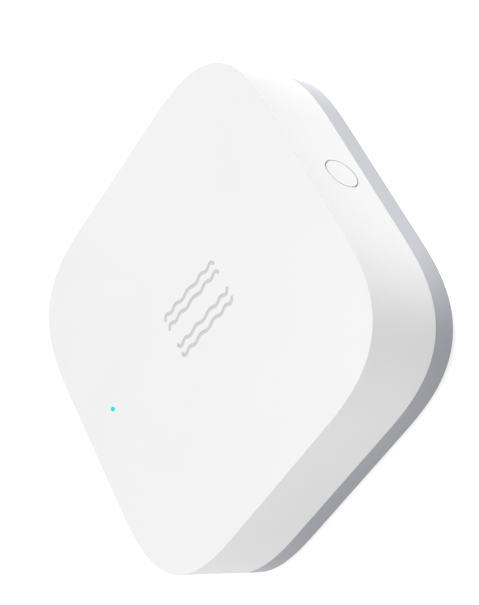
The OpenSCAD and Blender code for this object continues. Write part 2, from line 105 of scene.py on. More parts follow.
def loft(bm, profile, closed=False):
    # profile of (inset, level) pairs around the tag's outline
    skin(bm, [[(p.x, p.y, level) for p in outline(inset)] for inset, level in profile], closed)


def lathe(bm, profile, place=upright, steps=64, closed=False, paint=0):
    # profile of (radius, level) pairs around the Z axis of the place
    rows = []
    for radius, level in profile:
        angles = [i / steps * tau for i in range(steps)] if radius else [0]
        rows.append([place @ Vector((radius * math.cos(a), radius * math.sin(a), level)) for a in angles])
    skin(bm, rows, closed, paint)


def arc(centre, radius, start, end, steps=4):
    # points of a rounded edge in a profile, angles in degrees
    angles = [math.radians(start + (end - start) * i / steps) for i in range(steps + 1)]
    return [(centre[0] + radius * math.cos(a), centre[1] + radius * math.sin(a)) for a in angles]


def block(bm, low, high, edge=0.0, place=upright, paint=0, segments=2):
    part = bmesh.new()
    bmesh.ops.create_cube(part, size=1)
    low, high = Vector(low), Vector(high)
    part.transform(Matrix.Translation((low + high) / 2) @ Matrix.Diagonal((*(high - low), 1)))
    if edge:
        bmesh.ops.bevel(part, geom=part.edges, offset=edge, segments=segments, profile=0.5, affect="EDGES")
    part.transform(place)
    for face in part.faces:
        face.material_index = paint
    spare = bpy.data.meshes.new("spare")
    part.to_mesh(spare)
    part.free()
    bm.from_mesh(spare)
    bpy.data.meshes.remove(spare)


def trial(bm, finishes):
    # a passing object, for the Boolean tools
    bmesh.ops.recalc_face_normals(bm, faces=bm.faces)
    mesh = bpy.data.meshes.new("trial")
    bm.to_mesh(mesh)
    bm.free()
    for finish in finishes:
        mesh.materials.append(finish)
    made = bpy.data.objects.new("trial", mesh)
    scene.collection.objects.link(made)
    return made


def combine(bm, tool, how, finishes):
    base, other = trial(bm, finishes), trial(tool, finishes)
    change = base.modifiers.new("change", "BOOLEAN")
    change.operation, change.solver, change.object = how, "EXACT", other
    bpy.context.view_layer.update()
    result = bmesh.new()
    result.from_object(base, bpy.context.evaluated_depsgraph_get())
    for spare in (base, other):
        mesh = spare.data
        bpy.data.objects.remove(spare)
        bpy.data.meshes.remove(mesh)
    return result


def addPiece(name, bm, finishes, body, nodes):
    bmesh.ops.remove_doubles(bm, verts=bm.verts, dist=mergeGap)
    bmesh.ops.recalc_face_normals(bm, faces=bm.faces)
    bm.transform(Matrix.Scale(mm, 4))
    mesh = bpy.data.meshes.new(name)
    bm.to_mesh(mesh)
    bm.free()
    for finish in finishes:
        mesh.materials.append(finish)
    mesh.shade_smooth()
    mesh.set_sharp_from_angle(angle=crease)
    piece = bpy.data.objects.new(name, mesh)
    scene.collection.objects.link(piece)
    shading = piece.modifiers.new("shading", "WEIGHTED_NORMAL")
    shading.keep_sharp = True
    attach(piece, body)
    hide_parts(*nodes)
    return piece


print("shape tools ready")


# materials

def addNode(tree, kind, inputs=None, **settings):
    node = tree.nodes.new("ShaderNode" + kind)
    for key, value in settings.items():
        setattr(node, key, value)
    for key, value in (inputs or {}).items():
        if isinstance(value, bpy.types.NodeSocket):
            tree.links.new(value, node.inputs[key])
        else:
            node.inputs[key].default_value = value
    return node


def newGroup(name, inputs, outputs):
    group = bpy.data.node_groups.new(name, "ShaderNodeTree")
    for label, kind, value in inputs:
        socket = group.interface.new_socket(name=label, in_out="INPUT", socket_type="NodeSocket" + kind)
        socket.default_value = value
    for label in outputs:
        group.interface.new_socket(name=label, in_out="OUTPUT", socket_type="NodeSocketFloat")
    return group, group.nodes.new("NodeGroupInput"), group.nodes.new("NodeGroupOutput")


def objectPoint(tree):
    return addNode(tree, "TexCoord").outputs["Object"]


def fractal(tree, where, scale, detail=2.0, roughness=0.5, distortion=0.0):
    inputs = {
        "Vector": where, "Scale": scale, "Detail": detail, "Roughness": roughness, "Distortion": distortion,
    }
    return addNode(tree, "TexNoise", inputs).outputs["Fac"]


def spread(tree, value, fromLow, fromHigh, low, high, ease="LINEAR"):
    inputs = {"Value": value, "From Min": fromLow, "From Max": fromHigh, "To Min": low, "To Max": high}
    return addNode(tree, "MapRange", inputs, interpolation_type=ease).outputs["Result"]


def blendColours(tree, mask, first, second):
    # a Mix node has its colours at the inputs 6 and 7 and at the output 2
    first, second = (c if isinstance(c, bpy.types.NodeSocket) else (*c, 1) for c in (first, second))
    return addNode(tree, "Mix", {0: mask, 6: first, 7: second}, data_type="RGBA").outputs[2]


def mathNode(tree, operation, first, second):
    return addNode(tree, "Math", {0: first, 1: second}, operation=operation).outputs[0]


def vectorNode(tree, operation, first, second=(0, 0, 0)):
    node = addNode(tree, "VectorMath", {0: first, 1: second}, operation=operation)
    return node.outputs["Value" if operation in ("LENGTH", "DISTANCE") else "Vector"]


# moulded plastic: a fine eroded grain, slow drift of tone and faint handling marks
mouldedSkin, start, end = newGroup(
    "mouldedSkin",
    [("Grain", "Float", 6000.0), ("Drift", "Float", 45.0), ("Marks", "Float", 260.0)],
    ["Height", "Tone", "Gloss"],
)
where = objectPoint(mouldedSkin)
tie = mouldedSkin.links.new
tie(fractal(mouldedSkin, where, start.outputs["Grain"], detail=3.0, roughness=0.6), end.inputs["Height"])
tie(fractal(mouldedSkin, where, start.outputs["Drift"]), end.inputs["Tone"])
marks = fractal(mouldedSkin, where, start.outputs["Marks"], detail=4.0, roughness=0.55, distortion=0.8)
tie(marks, end.inputs["Gloss"])

# sheet metal: rolling lines drawn out along one direction, and a slow tarnish
rolledMetal, start, end = newGroup(
    "rolledMetal",
    [("Lines", "Vector", (900.0, 22000.0, 900.0)), ("Tarnish", "Float", 420.0)],
    ["Height", "Tone", "Gloss"],
)
where = objectPoint(rolledMetal)
tie = rolledMetal.links.new
drawn = vectorNode(rolledMetal, "MULTIPLY", where, start.outputs["Lines"])
lines = fractal(rolledMetal, drawn, 1.0, detail=3.0, roughness=0.6)
tie(lines, end.inputs["Height"])
tie(lines, end.inputs["Gloss"])
tarnish = fractal(rolledMetal, where, start.outputs["Tarnish"], detail=4.0, roughness=0.6, distortion=0.4)
tie(tarnish, end.inputs["Tone"])


noiseSpan = (0.3, 0.7)  # nearly all values of a noise lie between these


def texturedFinish(name, group, colours, roughness, bump, bumpDepth, texture, sockets):
    # a finish whose colour, gloss and grain all come from one of the shared groups
    finish = bpy.data.materials.new(name)
    finish.use_nodes = True
    tree = finish.node_tree
    shader = tree.nodes["Principled BSDF"]
    for socket, value in sockets.items():
        shader.inputs[socket].default_value = value
    source = tree.nodes.new("ShaderNodeGroup")
    source.node_tree = group
    for socket, value in texture.items():
        source.inputs[socket].default_value = value
    tone = spread(tree, source.outputs["Tone"], *noiseSpan, 0.0, 1.0)
    tree.links.new(blendColours(tree, tone, *colours), shader.inputs["Base Color"])
    gloss = spread(tree, source.outputs["Gloss"], *noiseSpan, *roughness)
    tree.links.new(gloss, shader.inputs["Roughness"])
    grain = {"Height": source.outputs["Height"], "Strength": bump, "Distance": bumpDepth * mm}
    tree.links.new(addNode(tree, "Bump", grain).outputs["Normal"], shader.inputs["Normal"])
    return finish


def plastic(name, colours, roughness=(0.38, 0.46), bump=0.12, bumpDepth=0.01, texture=None, sockets=None):
    return texturedFinish(
        name, mouldedSkin, colours, roughness, bump, bumpDepth, texture or {}, sockets or {})


def metal(name, colours, roughness=(0.22, 0.36), bump=0.15, bumpDepth=0.006, texture=None):
    return texturedFinish(
        name, rolledMetal, colours, roughness, bump, bumpDepth, texture or {}, {"Metallic": 1.0})


def openFinish(finish):
    # what a further layer of a finish needs: its tree, its shader and its colour so far
    tree = finish.node_tree
    shader = tree.nodes["Principled BSDF"]
    return tree, shader, shader.inputs["Base Color"].links[0].from_socket


# lengths around the light and levels along its pipe in millimetres
lightLook = {
    "lit": (0.045, 0.63, 0.63), "dark": (0.02, 0.03, 0.03), "litFrom": 12.4, "litTo": 12.9, "strength": 1.0,
    "core": (0.24, 0.33), "haloTint": (0.55, 0.80, 0.80), "halo": (0.0, 0.17, 0.17),
    "haloReach": (0.28, 0.57), "spread": 1.7, "spreadTurn": math.radians(37.7),
}
shellLook = {
    "colours": ((0.790, 0.790, 0.792), (0.812, 0.812, 0.812)), "bump": 0.06, "bumpDepth": 0.008,
    "sockets": {"Specular IOR Level": 0.3},
}


def lightUp(tree, shader, colour, glow):
    tree.links.new(colour, shader.inputs["Base Color"])
    tree.links.new(glow, shader.inputs["Emission Color"])
    shader.inputs["Emission Strength"].default_value = lightLook["strength"]


def shellFinish():
    look = lightLook
    finish = plastic("shellWhite", roughness=(0.40, 0.47), **shellLook)
    tree, shader, colour = openFinish(finish)
    # light that leaks into the plastic around the light hole, spread wider one way than the other
    spot = (lightX * mm, lightY * mm, tag["front"] * mm)
    offset = vectorNode(tree, "SUBTRACT", objectPoint(tree), spot)
    turned = addNode(tree, "VectorRotate", {"Vector": offset, "Angle": look["spreadTurn"]}).outputs[0]
    away = vectorNode(tree, "LENGTH", vectorNode(tree, "MULTIPLY", turned, (1 / look["spread"], 1, 1)))
    halo, core = (
        spread(tree, away, near * mm, far * mm, 1.0, 0.0, "SMOOTHSTEP")
        for near, far in (look["haloReach"], look["core"]))
    colour = blendColours(tree, core, blendColours(tree, halo, colour, look["haloTint"]), look["dark"])
    glow = blendColours(tree, core, blendColours(tree, halo, (0, 0, 0), look["halo"]), look["lit"])
    lightUp(tree, shader, colour, glow)
    return finish


def pipeFinish():
    look = lightLook
    finish = plastic(
        "lightClear", ((0.72, 0.80, 0.80), (0.78, 0.85, 0.85)), roughness=(0.12, 0.20), bump=0.05,
        bumpDepth=0.004)
    tree, shader, colour = openFinish(finish)
    level = addNode(tree, "SeparateXYZ", {0: objectPoint(tree)}).outputs["Z"]
    lit = spread(tree, level, look["litFrom"] * mm, look["litTo"] * mm, 0.0, 1.0)
    colour = blendColours(tree, lit, colour, look["dark"])
    lightUp(tree, shader, colour, blendColours(tree, lit, (0, 0, 0), look["lit"]))
    return finish


shellWhite = shellFinish()
lightClear = pipeFinish()
buttonWhite = plastic("buttonWhite", roughness=(0.38, 0.45), **shellLook)
markGrey = plastic("markGrey", ((0.553, 0.553, 0.558), (0.577, 0.577, 0.580)), roughness=(0.50, 0.60))
coverGrey = plastic(
    "coverGrey", ((0.304, 0.308, 0.338), (0.319, 0.323, 0.353)), roughness=(0.30, 0.36), bump=0.08,
    bumpDepth=0.008, sockets={"Metallic": 0.65})
adhesiveFoam = plastic(
    "adhesiveFoam", ((0.60, 0.60, 0.58), (0.70, 0.70, 0.68)), roughness=(0.55, 0.75), bump=0.6,
    bumpDepth=0.03, texture={"Grain": 2600.0, "Drift": 300.0})

# radii in millimetres
boardLook = {
    "mask": ((0.006, 0.060, 0.028), (0.010, 0.085, 0.040)), "trace": (0.022, 0.165, 0.075),
    "traceScale": 420.0, "traceEdge": (0.86, 0.92), "areaScale": 190.0, "trackShare": 0.82,
    "viaScale": 330.0, "viaRadius": (0.22, 0.26), "land": (0.83, 0.66, 0.36), "landRadius": (1.72, 1.78),
}


def boardFinish():
    look = boardLook
    finish = plastic(
        "boardGreen", look["mask"], roughness=(0.28, 0.38), bump=0.10, bumpDepth=0.010,
        texture={"Grain": 3000.0})
    tree, shader, colour = openFinish(finish)
    where = objectPoint(tree)
    # copper under the lacquer: areas of parallel tracks, turned in some of them, and a few filled ones
    cells = {"Vector": where, "Scale": look["areaScale"]}
    area = addNode(tree, "TexVoronoi", cells, voronoi_dimensions="2D", distance="CHEBYCHEV")
    kind = addNode(tree, "SeparateColor", {0: area.outputs["Color"]}).outputs[0]
    runs = []
    for direction in ("X", "Y"):
        bands = {"Vector": where, "Scale": look["traceScale"]}
        wave = addNode(tree, "TexWave", bands, wave_type="BANDS", bands_direction=direction).outputs["Fac"]
        runs.append(spread(tree, wave, *look["traceEdge"], 0.0, 1.0))
    turned = mathNode(tree, "GREATER_THAN", kind, look["trackShare"] / 2)
    straight = mathNode(tree, "SUBTRACT", 1.0, turned)
    across = mathNode(tree, "MULTIPLY", runs[0], turned)
    tracks = mathNode(tree, "ADD", across, mathNode(tree, "MULTIPLY", runs[1], straight))
    copper = mathNode(tree, "MAXIMUM", tracks, mathNode(tree, "GREATER_THAN", kind, look["trackShare"]))
    colour = blendColours(tree, copper, colour, look["trace"])
    dots = {"Vector": where, "Scale": look["viaScale"]}
    via = addNode(tree, "TexVoronoi", dots, voronoi_dimensions="2D").outputs["Distance"]
    near, far = (r * mm * look["viaScale"] for r in look["viaRadius"])
    colour = blendColours(tree, spread(tree, via, near, far, 1.0, 0.0), colour, look["land"])
    # bare plated lands around the screw holes
    flat = vectorNode(tree, "MULTIPLY", vectorNode(tree, "ABSOLUTE", where), (1, 1, 0))
    hole = (tag["screwReach"] * mm, tag["screwReach"] * mm, 0)
    near, far = look["landRadius"]
    land = spread(tree, vectorNode(tree, "DISTANCE", flat, hole), near * mm, far * mm, 1.0, 0.0)
    tree.links.new(blendColours(tree, land, colour, look["land"]), shader.inputs["Base Color"])
    tree.links.new(land, shader.inputs["Metallic"])
    return finish


boardGreen = boardFinish()
holderIvory = plastic(
    "holderIvory", ((0.66, 0.62, 0.52), (0.71, 0.67, 0.57)), roughness=(0.42, 0.55), bumpDepth=0.012)
switchBlack = plastic(
    "switchBlack", ((0.016, 0.016, 0.018), (0.026, 0.026, 0.028)), roughness=(0.42, 0.58), bump=0.2,
    bumpDepth=0.012)
plungerGrey = plastic(
    "plungerGrey", ((0.26, 0.26, 0.27), (0.31, 0.31, 0.32)), roughness=(0.36, 0.48), bump=0.1)
gasketGrey = plastic(
    "gasketGrey", ((0.075, 0.078, 0.085), (0.105, 0.108, 0.115)), roughness=(0.45, 0.60), bump=0.1)
electrodeDark = plastic(
    "electrodeDark", ((0.05, 0.05, 0.05), (0.09, 0.09, 0.09)), roughness=(0.6, 0.8), bump=0.5,
    bumpDepth=0.02)
chipBlack = plastic(
    "chipBlack", ((0.013, 0.013, 0.014), (0.023, 0.023, 0.024)), roughness=(0.46, 0.62), bump=0.35,
    bumpDepth=0.012)
chipTan = plastic(
    "chipTan", ((0.30, 0.20, 0.115), (0.40, 0.28, 0.17)), roughness=(0.40, 0.55), bump=0.3)
ledCeramic = plastic(
    "ledCeramic", ((0.74, 0.73, 0.67), (0.80, 0.79, 0.74)), roughness=(0.35, 0.50), bump=0.15)
ledLens = plastic(
    "ledLens", ((0.62, 0.80, 0.66), (0.70, 0.86, 0.74)), roughness=(0.10, 0.18), bump=0.05,
    bumpDepth=0.004)
sheetSteel = metal("sheetSteel", ((0.56, 0.56, 0.55), (0.66, 0.66, 0.64)), roughness=(0.20, 0.34))
tinnedMetal = metal("tinnedMetal", ((0.66, 0.66, 0.64), (0.77, 0.77, 0.74)), roughness=(0.26, 0.42))
screwSteel = metal("screwSteel", ((0.42, 0.42, 0.44), (0.55, 0.55, 0.57)), roughness=(0.24, 0.36))
cellSteel = metal(
    "cellSteel", ((0.655, 0.655, 0.645), (0.695, 0.695, 0.685)), roughness=(0.16, 0.28),
    texture={"Tarnish": 160.0})
bareCopper = metal("bareCopper", ((0.72, 0.38, 0.20), (0.84, 0.50, 0.28)), roughness=(0.24, 0.40))
print("finishes ready")


# front shell

shellSize = {
    "wall": 1.5, "edge": 0.04, "innerEdge": 0.5, "seamEdge": 0.015, "leadIn": 0.2,
    "bossRadius": 1.72, "bossEdge": 0.1, "bossFoot": 0.35, "bossTop": 12.35,
    "boreRadius": 0.72, "boreTop": 12.25,
    "lightBossRadius": 2.0, "lightBossLow": 10.75, "pipeBore": 1.02, "lightHole": 0.32, "lightSkin": 0.5,
    "buttonBore": 2.24, "buttonMouth": 0.03, "buttonSteps": 96, "overshoot": 1.0,
    "pocketInset": 0.95, "pocketHalf": 2.3, "pocketLow": 4.05, "pocketHigh": 5.05, "clipOffset": 9.0,
}
markSize = {
    "length": 10.9, "waves": 3.48, "bow": 1.4, "swing": 0.17, "tail": 1.5, "tailPower": 32,
    "width": 0.47, "depth": 0.05, "slant": 0.03, "pitch": 1.42, "gap": 3.14, "shift": (1.48, 0.08),
    "steps": 160, "endSteps": 5, "rise": 0.4,
}


def atClips():
    for quarter in range(4):
        for side in (-1, 1):
            turn = Matrix.Rotation(quarter * math.pi / 2, 4, "Z")
            yield turn @ Matrix.Translation((tag["half"], side * shellSize["clipOffset"], 0))


def wavePoint(share, flip):
    # a wave that quickens towards both ends, where it runs out in a higher tail
    size = markSize
    phase = tau * size["waves"] * (share + size["bow"] * share ** 3)
    swing = size["swing"] * (1 + size["tail"] * (2 * share) ** size["tailPower"])
    return Vector((size["length"] * share, flip * swing * math.cos(phase), 0))


def waveRows(flip):
    # places along one wave, the way across, and the share of the full width, round at both ends
    steps, ends, half = markSize["steps"], markSize["endSteps"], markSize["width"] / 2
    line = [wavePoint(i / steps - 0.5, flip) for i in range(steps + 1)]
    headings = [(line[min(i + 1, steps)] - line[max(i - 1, 0)]).normalized() for i in range(steps + 1)]
    rows = [(at, along, 1.0) for at, along in zip(line, headings)]
    for i in range(1, ends):
        angle = i / ends * math.pi / 2
        out, share = half * math.sin(angle), math.cos(angle)
        rows.insert(0, (line[0] - headings[0] * out, headings[0], share))
        rows.append((line[-1] + headings[-1] * out, headings[-1], share))
    return [(at, Vector((-along.y, along.x, 0)), share) for at, along, share in rows]


def waveGroove(bm, middle, flip, paint):
    size = markSize
    half, deep, slant = size["width"] / 2, size["depth"], size["slant"]
    section = [(-half, size["rise"]), (half, size["rise"]), (half, 0), (half - slant, -deep),
               (slant - half, -deep), (-half, 0)]
    turn = Matrix.Rotation(tag["markTurn"], 3, "Z")
    place = Vector((size["shift"][0], size["shift"][1] + middle, tag["front"]))
    skin(bm, [
        [turn @ (at + across * s * share) + place + Vector((0, 0, level)) for s, level in section]
        for at, across, share in waveRows(flip)
    ], paint=paint)


def frontShell():
    size, seam, front, ceiling = shellSize, tag["seam"], tag["front"], tag["ceiling"]
    wall, edge, inner = size["wall"], size["edge"], size["innerEdge"]
    profile = arc((wall + inner, ceiling - inner), inner, 90, 180)
    profile += [(wall, seam + size["leadIn"]), (wall - size["leadIn"], seam), (size["seamEdge"], seam)]
    profile += [(0, seam + size["seamEdge"])]
    profile += arc((edge, front - edge), edge, 180, 90)
    bm = bmesh.new()
    loft(bm, profile)

    finishes = [shellWhite, markGrey]
    bosses = bmesh.new()
    spots = [(x, y, tag["boardFront"], size["bossRadius"]) for x, y in screwSpots]
    spots.append((lightX, lightY, size["lightBossLow"], size["lightBossRadius"]))
    foot, top, soft = size["bossFoot"], size["bossTop"], size["bossEdge"]
    for x, y, low, radius in spots:
        lathe(bosses, [
            (0, low), (radius - soft, low), (radius, low + soft),
            *arc((radius + foot, ceiling - foot), foot, 180, 90), (radius + foot, top), (0, top),
        ], Matrix.Translation((x, y, 0)))
    bm = combine(bm, bosses, "UNION", finishes)

    cuts = bmesh.new()
    over = size["overshoot"]
    bore, low, top = size["boreRadius"], tag["boardFront"] - over, size["boreTop"]
    for x, y in screwSpots:
        lathe(cuts, [(0, low), (bore, low), (bore, top), (0, top)], Matrix.Translation((x, y, 0)))
    bore, low, hole = size["pipeBore"], size["lightBossLow"] - over, size["lightHole"]
    step, top = front - size["lightSkin"], front + over
    lathe(cuts, [(0, low), (bore, low), (bore, step), (hole, step), (hole, top), (0, top)],
          Matrix.Translation((lightX, lightY, 0)))
    bore, mouth, half = size["buttonBore"], size["buttonMouth"], tag["half"]
    low, top = half - wall - over, half + over
    lathe(cuts, [(0, low), (bore, low), (bore, half - mouth), (bore + mouth, half),
                 (bore + mouth, top), (0, top)], alongPress, size["buttonSteps"])
    for place in atClips():
        block(cuts, (-wall - over, -size["pocketHalf"], size["pocketLow"]),
              (-size["pocketInset"], size["pocketHalf"], size["pocketHigh"]), place=place)
    for flip in (-1, 1):
        for row in (0, 1):
            waveGroove(cuts, flip * (markSize["gap"] / 2 + row * markSize["pitch"]), flip, paint=1)
    bm = combine(bm, cuts, "DIFFERENCE", finishes)
    addPiece("frontShell", bm, finishes, "sensor_body", ["front_shell"])


frontShell()
print("front shell built")


# rear cover

coverSize = {
    "edge": 0.09, "seamEdge": 0.015, "lipInset": 1.7, "rimInset": 2.7, "lipEdge": 0.2, "floorEdge": 0.3,
    "restOuter": 7.5, "restInner": 6.5, "restTop": 4.7, "restEdge": 0.1, "restSteps": 96, "root": 0.3,
    "ribs": 8, "ribHalf": 0.4, "ribTop": 2.7, "ribEdge": 0.12,
    "pinMarks": 4, "pinReach": 14.5, "pinRadius": 1.3, "pinDepth": 0.05,
    "padBore": 16.2, "padBoreTop": 1.0, "padSteps": 128,
    "slotInset": 1.4, "slotHalf": 2.3, "notchIn": 3.7, "notchOut": 1.0, "notchHalf": 3.7,
    "pryHalf": 4.5, "pryLow": 2.5, "pryDepth": 1.1, "overshoot": 1.0,
}


def rearCover():
    size, half, seam, lipTop = coverSize, tag["half"], tag["seam"], tag["lipTop"]
    plate, back, edge, lead = tag["plateTop"], tag["coverBack"], size["edge"], size["lipEdge"]
    rim, lip, corner = size["rimInset"], size["lipInset"], size["floorEdge"]
    profile = arc((rim + corner, plate + corner), corner, 270, 180)
    profile += [(rim, lipTop - lead / 2), (rim - lead / 2, lipTop), (lip + lead, lipTop)]
    profile += [(lip, lipTop - lead), (lip, seam), (size["seamEdge"], seam), (0, seam - size["seamEdge"])]
    profile += arc((edge, back + edge), edge, 180, 270)
    bm = bmesh.new()
    loft(bm, profile)
    rest = bmesh.new()
    outer, inner, top, soft = size["restOuter"], size["restInner"], size["restTop"], size["restEdge"]
    root = plate - size["root"]
    lathe(rest, [(inner, root), (outer, root), (outer, top - soft), (outer - soft, top),
                 (inner + soft, top), (inner, top - soft)], steps=size["restSteps"], closed=True)
    bm = combine(bm, rest, "UNION", [coverGrey])
    ribs = bmesh.new()
    for i in range(size["ribs"]):
        reach = outline(rim)[tag["cornerSteps"] // 2].length if i % 2 else half - rim
        block(ribs, ((inner + outer) / 2, -size["ribHalf"], root),
              (reach + size["root"], size["ribHalf"], size["ribTop"]), size["ribEdge"],
              Matrix.Rotation(i / size["ribs"] * tau, 4, "Z"))
    bm = combine(bm, ribs, "UNION", [coverGrey])
    cuts = bmesh.new()
    over = size["overshoot"]
    bore, top = size["padBore"], size["padBoreTop"]
    lathe(cuts, [(0, back - over), (bore, back - over), (bore, top), (0, top)], steps=size["padSteps"])
    # marks that the ejector pins left, one in every second field between the ribs
    pin, deep = size["pinRadius"], size["pinDepth"]
    for i in range(size["pinMarks"]):
        turn = Matrix.Rotation((i + 0.25) / size["pinMarks"] * tau, 4, "Z")
        lathe(cuts, [(0, -deep), (pin, -deep), (pin, over), (0, over)],
              turn @ Matrix.Translation((size["pinReach"], 0, plate)))
    for place in atClips():
        block(cuts, (-rim - over, -size["slotHalf"], plate),
              (-size["slotInset"], size["slotHalf"], lipTop + over), place=place)
    block(cuts, (half - size["notchIn"], -size["notchHalf"], seam),
          (half - size["notchOut"], size["notchHalf"], lipTop + over))
    block(cuts, (-half - over, -size["pryHalf"], size["pryLow"]),
          (-half + size["pryDepth"], size["pryHalf"], seam + over))
    bm = combine(bm, cuts, "DIFFERENCE", [coverGrey])
    addPiece("rearCover", bm, [coverGrey], "base", ["rear_cover"])


rearCover()
print("rear cover built")


# adhesive pad, a foam core between two films

padSize = {"radius": 16.0, "thickness": 1.0, "film": 0.12, "inset": 0.06, "edge": 0.05, "steps": 128}


def adhesivePad():
    r, t, film, inset, soft = (padSize[key] for key in ("radius", "thickness", "film", "inset", "edge"))
    bm = bmesh.new()
    lathe(bm, [
        (0, 0), (r - soft, 0), (r, soft), (r, film), (r - inset, film + inset),
        (r - inset, t - film - inset), (r, t - film), (r, t - soft), (r - soft, t), (0, t),
    ], steps=padSize["steps"])
    addPiece("adhesivePad", bm, [adhesiveFoam], "base", ["adhesive_pad"])


adhesivePad()


# light pipe and side button

pipeSize = {
    "low": 10.75, "body": 1.0, "shoulder": 12.58, "tip": 0.30, "edge": 0.08, "dome": 0.04, "steps": 48,
}
buttonSize = {
    "stemEnd": 21.42, "stem": 1.2, "flangeIn": 22.7, "flangeOut": 23.4, "flange": 2.7,
    "radius": 2.1, "rim": 0.05, "soft": 0.06, "steps": 96,
}


def lightPipe():
    size, front = pipeSize, tag["front"]
    low, body, shoulder = size["low"], size["body"], size["shoulder"]
    edge, tip, dome = size["edge"], size["tip"], size["dome"]
    crown = [(tip * x, front - dome + dome * y) for x, y in arc((0, 0), 1, 0, 90)]
    bm = bmesh.new()
    lathe(bm, [
        (0, low), (body - edge, low), (body, low + edge), (body, shoulder - edge), (body - edge, shoulder),
        (tip, shoulder), *crown[:-1], (0, front),
    ], Matrix.Translation((lightX, lightY, 0)), size["steps"])
    addPiece("lightPipe", bm, [lightClear], "sensor_body", ["light_pipe"])


def sideButton():
    size, half, soft, rim = buttonSize, tag["half"], buttonSize["soft"], buttonSize["rim"]
    stem, flange, radius = size["stem"], size["flange"], size["radius"]
    bm = bmesh.new()
    lathe(bm, [
        (0, size["stemEnd"]), (stem - soft, size["stemEnd"]), (stem, size["stemEnd"] + soft),
        (stem, size["flangeIn"]), (flange - soft, size["flangeIn"]), (flange, size["flangeIn"] + soft),
        (flange, size["flangeOut"] - soft), (flange - soft, size["flangeOut"]), (radius, size["flangeOut"]),
        # the ring inside the rim keeps the flat of the cap from being shaded round
        *arc((radius - rim, half - rim), rim, 0, 90), (radius - rim - soft, half), (0, half),
    ], alongPress, size["steps"])
    addPiece("sideButton", bm, [buttonWhite], "button", ["side_button"])


lightPipe()
sideButton()
print("pad, light and button built")


# switch behind the button: a snap dome under a plunger, both along the press

switchSize = {
    "pocketFloor": 19.26, "domeRadius": 1.5, "domeRise": 0.45, "domeSheet": 0.1, "domeSteps": 12,
    "domeKeep": 0.36,
    "flangeIn": 19.83, "flangeOut": 20.18, "flange": 1.4, "shaft": 0.8, "shaftEnd": 21.4,
    "soft": 0.06, "dimple": 0.04, "steps": 48,
}


def domeRise(radius):
    rise = switchSize["domeRise"]
    ball = (switchSize["domeRadius"] ** 2 + rise ** 2) / (2 * rise)
    return rise - ball + math.sqrt(ball ** 2 - radius ** 2)


def snapDome():
    size, floor, count = switchSize, switchSize["pocketFloor"], switchSize["domeSteps"]
    radii = [size["domeRadius"] * i / count for i in range(count + 1)]
    inner = [(r, floor + domeRise(r)) for r in radii]
    outer = [(r, level + size["domeSheet"]) for r, level in reversed(inner)]
    bm = bmesh.new()
    lathe(bm, inner + outer, alongPress, size["steps"])
    piece = addPiece("snapDome", bm, [sheetSteel], "sensor_body", ["switch_dome"])
    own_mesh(piece)


def switchPlunger():
    size, soft = switchSize, switchSize["soft"]
    flange, shaft, top = size["flange"], size["shaft"], size["shaftEnd"]
    bm = bmesh.new()
    lathe(bm, [
        (0, size["flangeIn"]), (flange - soft, size["flangeIn"]), (flange, size["flangeIn"] + soft),
        (flange, size["flangeOut"] - soft), (flange - soft, size["flangeOut"]), (shaft, size["flangeOut"]),
        *arc((shaft - soft, top - soft), soft, 0, 90), (shaft / 2, top), (0, top - size["dimple"]),
    ], alongPress, size["steps"])
    addPiece("switchPlunger", bm, [plungerGrey], "plunger", ["switch_plunger"])


snapDome()
switchPlunger()
print("switch built")


# circuit board and its screws

boardSize = {"inset": 3.1, "edge": 0.06, "hole": 0.9, "overshoot": 0.5, "steps": 40}
screwSize = {
    "headLow": 8.2, "head": 1.3, "headEdge": 0.3, "threadStart": 9.1, "pitch": 0.35, "turns": 7,
    "shank": 0.7, "root": 0.56, "tip": 0.3, "tipEnd": 12.0,
    "slotHalf": 0.85, "slotWidth": 0.36, "slotTop": 8.6, "overshoot": 0.5, "steps": 32,
}


def circuitBoard():
    size, low, high = boardSize, tag["boardBack"], tag["boardFront"]
    inset, edge, hole, over = size["inset"], size["edge"], size["hole"], size["overshoot"]
    bm = bmesh.new()
    loft(bm, [(inset + edge, low), (inset, low + edge), (inset, high - edge), (inset + edge, high)])
    holes = bmesh.new()
    for x, y in screwSpots:
        lathe(holes, [(0, low - over), (hole, low - over), (hole, high + over), (0, high + over)],
              Matrix.Translation((x, y, 0)), size["steps"])
    bm = combine(bm, holes, "DIFFERENCE", [boardGreen])
    addPiece("circuitBoard", bm, [boardGreen], "sensor_body", ["circuit_board"])


def boardScrews():
    size, head, soft, low = screwSize, screwSize["head"], screwSize["headEdge"], screwSize["headLow"]
    start, pitch, root, shank = size["threadStart"], size["pitch"], size["root"], size["shank"]
    profile = [(0, low), *arc((head - soft, low + soft), soft, 270, 360)]
    profile += [(head, tag["boardBack"]), (root, tag["boardBack"])]
    for turn in range(size["turns"]):
        profile += [(root, start + turn * pitch), (shank, start + (turn + 0.5) * pitch)]
    profile += [(size["tip"], size["tipEnd"]), (0, size["tipEnd"])]
    bm = bmesh.new()
    for x, y in screwSpots:
        lathe(bm, profile, Matrix.Translation((x, y, 0)), size["steps"])
    # a cross recess, one arm after the other
    long, wide = size["slotHalf"], size["slotWidth"] / 2
    for across, along in ((long, wide), (wide, long)):
        arm = bmesh.new()
        for x, y in screwSpots:
            block(arm, (x - across, y - along, low - size["overshoot"]),
                  (x + across, y + along, size["slotTop"]))
        bm = combine(bm, arm, "DIFFERENCE", [screwSteel])
    addPiece("boardScrews", bm, [screwSteel], "sensor_body", ["board_screws"])


circuitBoard()
boardScrews()
print("board and screws built")


# coin cell: a can and a cap with a sealing ring between them

